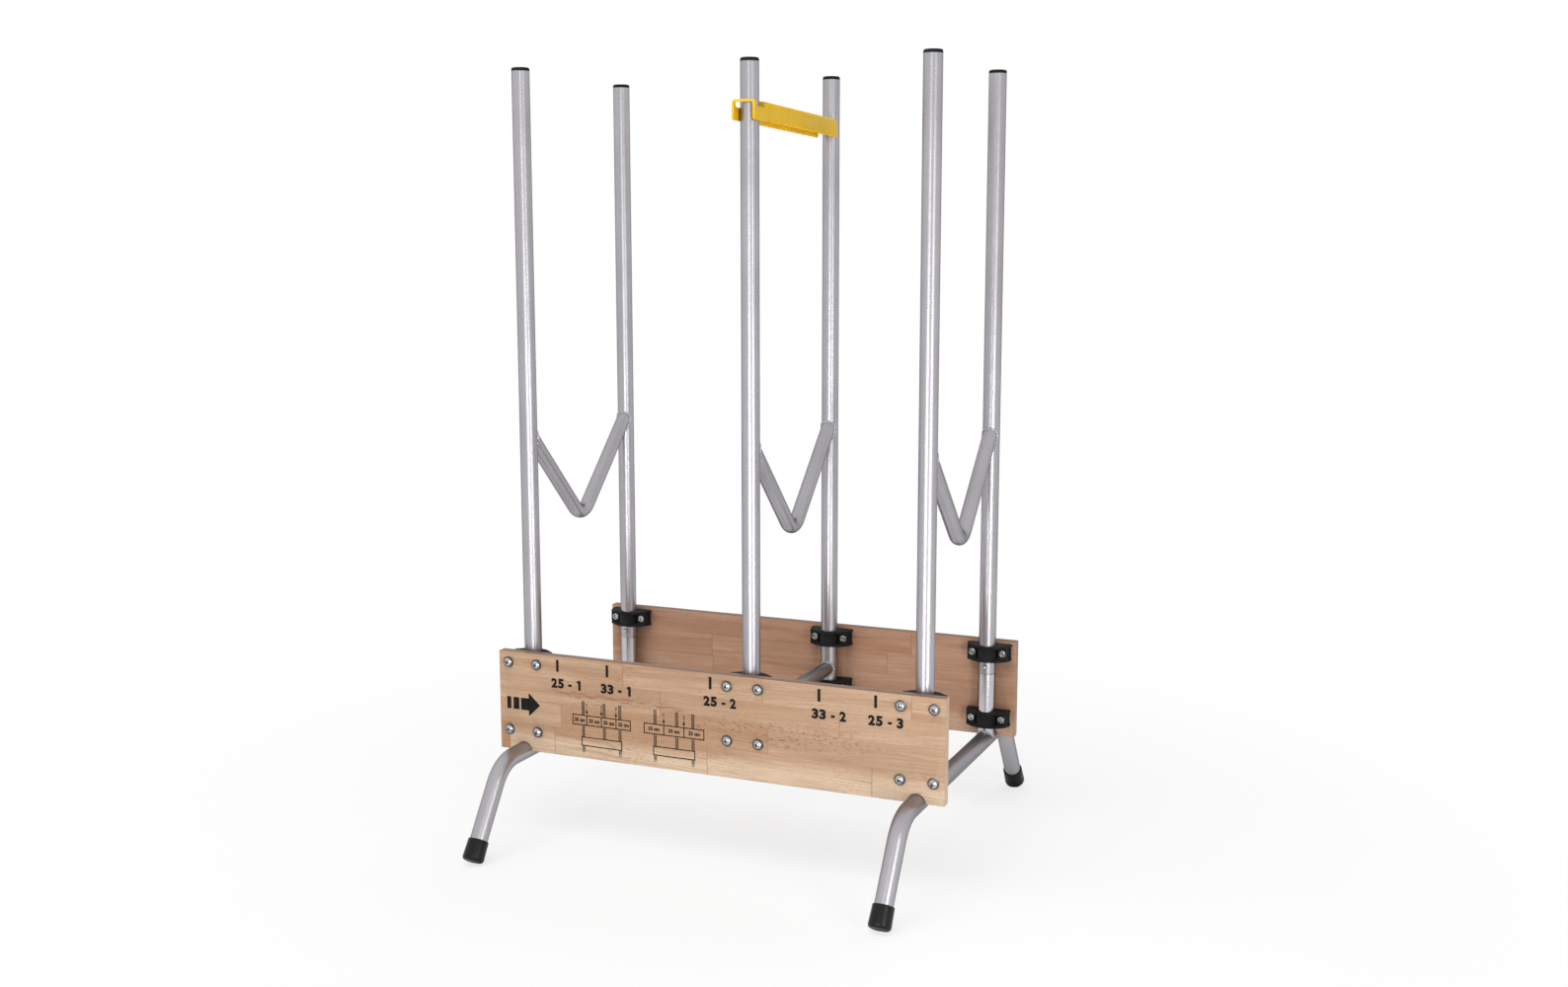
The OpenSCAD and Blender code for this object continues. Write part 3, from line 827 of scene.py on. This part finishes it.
for parts in part_counts:
    left = plan_starts[parts]
    ink_frame(left, left + plan_width, plan_bar_low, plan_bar_high, plan_line)
    for cut in range(1, parts):
        x = left + plan_width * cut / parts
        ink_bar(x - plan_line / 2, x + plan_line / 2, plan_cut_low, plan_cut_high)
        ink_wedge(x, pointer_z, pointer_half, pointer_depth, -math.pi / 2)
        ink_bar(x - pointer_stem / 2, x + pointer_stem / 2, pointer_z, pointer_top)
        if cut == 1:
            start = x + number_one_start
            ink_one(start, x + number_one_end, number_z, number_height, number_one_stroke)
        else:
            start = x - number_half
            ink_figures(str(cut), start, x + number_half, number_z, number_height, number_weight)
    for cell in range(parts):
        x = left + plan_width * (cell + 0.5) / parts
        part_length = f"{100 // parts} cm"
        ink_figures(part_length, x - length_half, x + length_half, length_z, length_height, length_weight)
    ink_frame(left + board_plan_start, left + board_plan_end, board_plan_low, board_plan_high, plan_line)
    for inset in post_insets:
        ink_post(left + inset, board_plan_high, plan_bar_low)
        ink_post(left + inset, plan_bar_high, post_plan_top)
    for inset in (post_insets[0], post_insets[-1]):
        x = left + inset
        ink_post(x, leg_plan_low, board_plan_low)
        start = x - foot_plan_size / 2
        ink_figures("o", start, start + foot_plan_size, foot_plan_low, foot_plan_size, 0.0)
    join_ink(f"cut_plan_{parts}_parts")


# Clamps: twelve blocks that hold the posts to the boards, each with two D-shaped plates and two towers.
# Moulded black plastic, pulled against the board by two screws.
rows = ("upper", "lower")
clamp_edge = 0.0005
for row in rows:
    for side in sides:
        for place in places:
            clamp = f"clamp_{row}_{side}_{place}"
            rounded_copy(clamp, "stand", black_plastic, clamp_edge)


# Washers and nuts: a flat washer under each screw head and a hexagon nut in each tower of a clamp.
# Stamped and pressed steel, zinc plated; the washers are darker and rougher than the heads on them.
washer_edge = 0.0003
nut_edge = 0.0005
# A dark, rough zinc for the washers; the same is put on the faces of each screw's cross recess as painted
# shade.
dark_zinc_and_recess_shade = finish(
    "dark_zinc_and_recess_shade",
    dark=(0.06, 0.061, 0.06),
    light=(0.12, 0.121, 0.12),
    rough=(0.28, 0.42),
    grain_scales=(210, 1800),
    bump=(0.08, 0.0001),
    metallic=1.0,
)
for side in sides:
    rounded_copy(f"screw_washers_{side}", "stand", dark_zinc_and_recess_shade, washer_edge)
    rounded_copy(f"clamp_nuts_{side}", "stand", bright_zinc, nut_edge)


# Screws: pan heads with a cross recess on each board's outer face, through board and clamp to the nuts.
# Cold-headed steel, zinc plated bright.
screw_pitch = 0.048
head_radius = 0.00625
head_height = 0.0044
head_rim = 0.0013
head_sides = 40
head_rings = 9
head_flat = 0.6
shank_radius = 0.003
shank_sides = 28
tip_bevel = 0.0006
tip_normal = -0.5
recess_width = 0.0021
recess_reach = 0.0042
recess_depth = 0.0024
recess_taper = 0.6
screw_smooth_angle = math.radians(30)
first_spin = 0.35
spin_step = 0.7


def pan_head_screw(length):
    """One screw along +Y with its seat at the origin and its head towards -Y."""
    bpy.ops.object.select_all(action="DESELECT")
    bpy.ops.mesh.primitive_circle_add(vertices=head_sides, radius=head_radius, fill_type="NGON")
    head = bpy.context.object
    head.data.materials.append(bright_zinc)
    head.data.materials.append(dark_zinc_and_recess_shade)
    bpy.ops.object.mode_set(mode="EDIT")
    bpy.ops.mesh.select_all(action="SELECT")
    bpy.ops.mesh.extrude_region_move(TRANSFORM_OT_translate={"value": (0, 0, head_rim)})
    dome = head_height - head_rim
    sphere = (head_radius**2 + dome**2) / (2 * dome)
    ring_radius = head_radius
    ring_height = 0.0
    for ring in range(1, head_rings + 1):
        turn = math.asin(head_radius / sphere) * (1 - ring / (head_rings + head_flat))
        next_radius = sphere * math.sin(turn)
        next_height = sphere * math.cos(turn) - (sphere - dome)
        rise = (0, 0, next_height - ring_height)
        bpy.ops.mesh.extrude_region_move(TRANSFORM_OT_translate={"value": rise})
        share = next_radius / ring_radius
        bpy.ops.transform.resize(value=(share, share, 1))
        ring_radius = next_radius
        ring_height = next_height
    bpy.ops.mesh.select_all(action="SELECT")
    bpy.ops.mesh.normals_make_consistent(inside=False)
    bpy.ops.object.mode_set(mode="OBJECT")
    for width, reach in ((recess_reach * 2, recess_width), (recess_width, recess_reach * 2)):
        bpy.ops.object.select_all(action="DESELECT")
        bpy.ops.mesh.primitive_cube_add(
            size=1, location=(0, 0, head_height), scale=(width, reach, recess_depth * 2)
        )
        cutter = bpy.context.object
        bpy.ops.object.transform_apply(location=True, rotation=True, scale=True)
        for vertex in cutter.data.vertices:
            if vertex.co.z < head_height:
                vertex.co.x *= recess_taper
                vertex.co.y *= recess_taper
        # The recess faces take the dark zinc: painted shade in the cross recess.
        cutter.data.materials.append(dark_zinc_and_recess_shade)
        cut = head.modifiers.new("cross_recess", "BOOLEAN")
        cut.object = cutter
        cut.operation = "DIFFERENCE"
        bpy.ops.object.select_all(action="DESELECT")
        bpy.context.view_layer.objects.active = head
        head.select_set(True)
        bpy.ops.object.modifier_apply(modifier=cut.name)
        bpy.data.objects.remove(cutter)
    bpy.ops.object.select_all(action="DESELECT")
    bpy.ops.mesh.primitive_cylinder_add(
        vertices=shank_sides, radius=shank_radius, depth=length, location=(0, 0, -length / 2)
    )
    shank = bpy.context.object
    shank.data.materials.append(bright_zinc)
    bpy.ops.object.mode_set(mode="EDIT")
    bpy.ops.mesh.select_all(action="DESELECT")
    bpy.ops.object.mode_set(mode="OBJECT")
    for face in shank.data.polygons:
        face.select = face.normal.z < tip_normal
    bpy.ops.object.mode_set(mode="EDIT")
    bpy.ops.mesh.select_mode(type="FACE")
    bpy.ops.mesh.bevel(offset=tip_bevel, segments=2, affect="EDGES")
    bpy.ops.object.mode_set(mode="OBJECT")
    head.select_set(True)
    shank.select_set(True)
    bpy.context.view_layer.objects.active = head
    bpy.ops.object.join()
    head.rotation_euler = (math.pi / 2, 0, 0)
    bpy.ops.object.transform_apply(location=True, rotation=True, scale=True)
    bpy.ops.object.shade_smooth_by_angle(angle=screw_smooth_angle)
    return head


seat_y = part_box("screw_washers_front")[0].y
tip_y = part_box("board_screws_front")[1].y
screw = pan_head_screw(tip_y - seat_y)
for side, sign in sides.items():
    placed = []
    for row in rows:
        for place in places:
            middle = centre_of(f"clamp_{row}_{side}_{place}")
            for step in (-0.5, 0.5):
                one = bpy.data.objects.new("screw_copy", screw.data.copy())
                bpy.context.scene.collection.objects.link(one)
                one.location = (middle.x + step * screw_pitch, sign * abs(seat_y), middle.z)
                spin = spin_step * len(placed) + first_spin
                one.rotation_euler = (0, spin, 0) if sign < 0 else (0, spin, math.pi)
                placed.append(one)
    bpy.ops.object.select_all(action="DESELECT")
    for one in placed:
        one.select_set(True)
    bpy.context.view_layer.objects.active = placed[0]
    bpy.ops.object.transform_apply(location=True, rotation=True, scale=True)
    bpy.ops.object.join()
    group = bpy.context.object
    group.name = f"board_screws_{side}_finished"
    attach(group, "stand")
    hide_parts(f"board_screws_{side}")
bpy.data.objects.remove(screw)


# Log holder: a folded channel with a window for the post and teeth along both lower edges.
# Cut and folded sheet steel, powder coated yellow.
# It slides on the front middle post and grips it by tipping.
holder_edge = 0.0004
yellow_coat = finish(
    "yellow_coat",
    dark=(0.86, 0.515, 0.014),
    light=(0.93, 0.575, 0.020),
    rough=(0.42, 0.54),
    grain_scales=(26, 1100),
    bump=(0.1, 0.0002),
    specular=0.12,
)
rounded_copy("log_holder", "log_holder", yellow_coat, holder_edge)


# Studio: a pale floor in a white surround, with two leaning strip lamps that the posts mirror.
# Wide lamps in front, behind and above fill in the shade and are not mirrored. The floor keeps the soft
# shadow and fades into the white, and metal close above it mirrors the shaded ground.
floor_size = 30
floor_tone = (0.94, 0.94, 0.94, 1)
white = (1, 1, 1, 1)
fade_near = 0.35
fade_far = 1.2
fade_least = 0.7
mirror_near = 0.008
mirror_far = 0.13
mirror_least = 0.15
fill_strength = 0.28


def seen_rays(tree, path, camera_share=1.0, glossy_share=1.0):
    """How much of the white surround a camera, glossy or transmission ray sees."""
    camera = calc(tree, "MULTIPLY", path["Is Camera Ray"], camera_share)
    glossy = calc(tree, "MULTIPLY", path["Is Glossy Ray"], glossy_share)
    return calc(tree, "MAXIMUM", calc(tree, "MAXIMUM", camera, glossy), path["Is Transmission Ray"])


def show_by_rays(tree, share, unseen, seen, output):
    """Shows one shader to the rays in the share and another to the rest."""
    surface = add_node(tree, "ShaderNodeMixShader")
    for place, value in enumerate((share, unseen.outputs[0], seen.outputs[0])):
        set_input(tree, surface.inputs[place], value)
    add_node(tree, output, {"Surface": surface.outputs[0]})


bpy.ops.object.select_all(action="DESELECT")
bpy.ops.mesh.primitive_plane_add(size=floor_size, location=(0, 0, 0))
floor = bpy.context.object
floor.name = "floor"
floor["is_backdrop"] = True
pale_floor = bpy.data.materials.new("pale_floor")
pale_floor.use_nodes = True
tree = pale_floor.node_tree
tree.nodes.clear()
ground = add_node(tree, "ShaderNodeBsdfDiffuse", {"Color": floor_tone})
glow = add_node(tree, "ShaderNodeEmission", {"Color": white, "Strength": 1.0})
here = add_node(tree, "ShaderNodeTexCoord").outputs["Object"]
reach = add_node(tree, "ShaderNodeVectorMath", {"Vector": here}, operation="LENGTH").outputs["Value"]
path = add_node(tree, "ShaderNodeLightPath").outputs
fade = ramp(tree, reach, fade_near, fade_far, fade_least, 1.0)
mirrored = ramp(tree, path["Ray Length"], mirror_near, mirror_far, mirror_least, 1.0)
show_by_rays(tree, seen_rays(tree, path, fade, mirrored), ground, glow, "ShaderNodeOutputMaterial")
floor.data.materials.append(pale_floor)

surround = bpy.data.worlds.new("white_surround")
bpy.context.scene.world = surround
surround.use_nodes = True
tree = surround.node_tree
tree.nodes.clear()
fill = add_node(tree, "ShaderNodeBackground", {"Color": white, "Strength": fill_strength})
backdrop = add_node(tree, "ShaderNodeBackground", {"Color": white, "Strength": 1.0})
path = add_node(tree, "ShaderNodeLightPath").outputs
show_by_rays(tree, seen_rays(tree, path), fill, backdrop, "ShaderNodeOutputWorld")


def soft_lamp(name, spot, aim, width, height, power):
    """A rectangular soft box that the camera doesn't see."""
    data = bpy.data.lights.new(name, "AREA")
    data.shape = "RECTANGLE"
    data.size = width
    data.size_y = height
    data.energy = power
    lamp = bpy.data.objects.new(name, data)
    bpy.context.scene.collection.objects.link(lamp)
    lamp.location = spot
    lamp.rotation_euler = (Vector(aim) - Vector(spot)).to_track_quat("-Z", "Y").to_euler()
    lamp.visible_camera = False
    return lamp


strip_lean = math.radians(27.8)
strip_aim = (0.05, -0.151)
strip_width = 0.24
strips = (("left", (0.335, -1.470, 0.685), 8.0), ("right", (1.182, -0.886, 0.685), 6.6))
strip_halves = (("low", -0.375, 0.75, 0.64), ("high", 0.335, 0.67, 0.22))
for name, spot, power in strips:
    inward = Vector((strip_aim[0] - spot[0], strip_aim[1] - spot[1], 0)).normalized()
    ahead = inward * math.cos(strip_lean) + Vector((0, 0, math.sin(strip_lean)))
    upward = Vector((0, 0, math.cos(strip_lean))) - inward * math.sin(strip_lean)
    for half, along, length, share in strip_halves:
        middle = Vector(spot) + upward * along
        lamp_name = f"{name}_{half}_lamp"
        strip = soft_lamp(lamp_name, middle, middle + ahead, strip_width, length, power * share)
        strip.visible_diffuse = name == "right"
fill_lamps = (
    soft_lamp("front_lamp", spot=(-1.6, -1.9, 1.15), aim=(0, 0, 0.4), width=4.0, height=2.3, power=28),
    soft_lamp("back_lamp", spot=(0.4, 2.6, 1.9), aim=(0, 0, 0.4), width=3.0, height=2.0, power=30),
    soft_lamp("high_lamp", spot=(-0.2, -1.5, 3.0), aim=(0, 0, 0.25), width=3.0, height=2.0, power=56),
)
for lamp in fill_lamps:
    lamp.visible_glossy = False

sensor_width = 36
lens = 38.94
eye_spot = (1.0134, -2.2982, 0.8934)
eye_pitch = 0.1503
eye_turn = 0.402
eye = bpy.data.cameras.new("view")
eye.sensor_fit = "HORIZONTAL"
eye.sensor_width = sensor_width
eye.lens = lens
viewer = bpy.data.objects.new("view", eye)
bpy.context.scene.collection.objects.link(viewer)
viewer.location = eye_spot
viewer.rotation_euler = (math.pi / 2 - eye_pitch, 0, eye_turn)
bpy.context.scene.camera = viewer
bpy.context.scene.view_settings.view_transform = "Standard"

low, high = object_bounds()
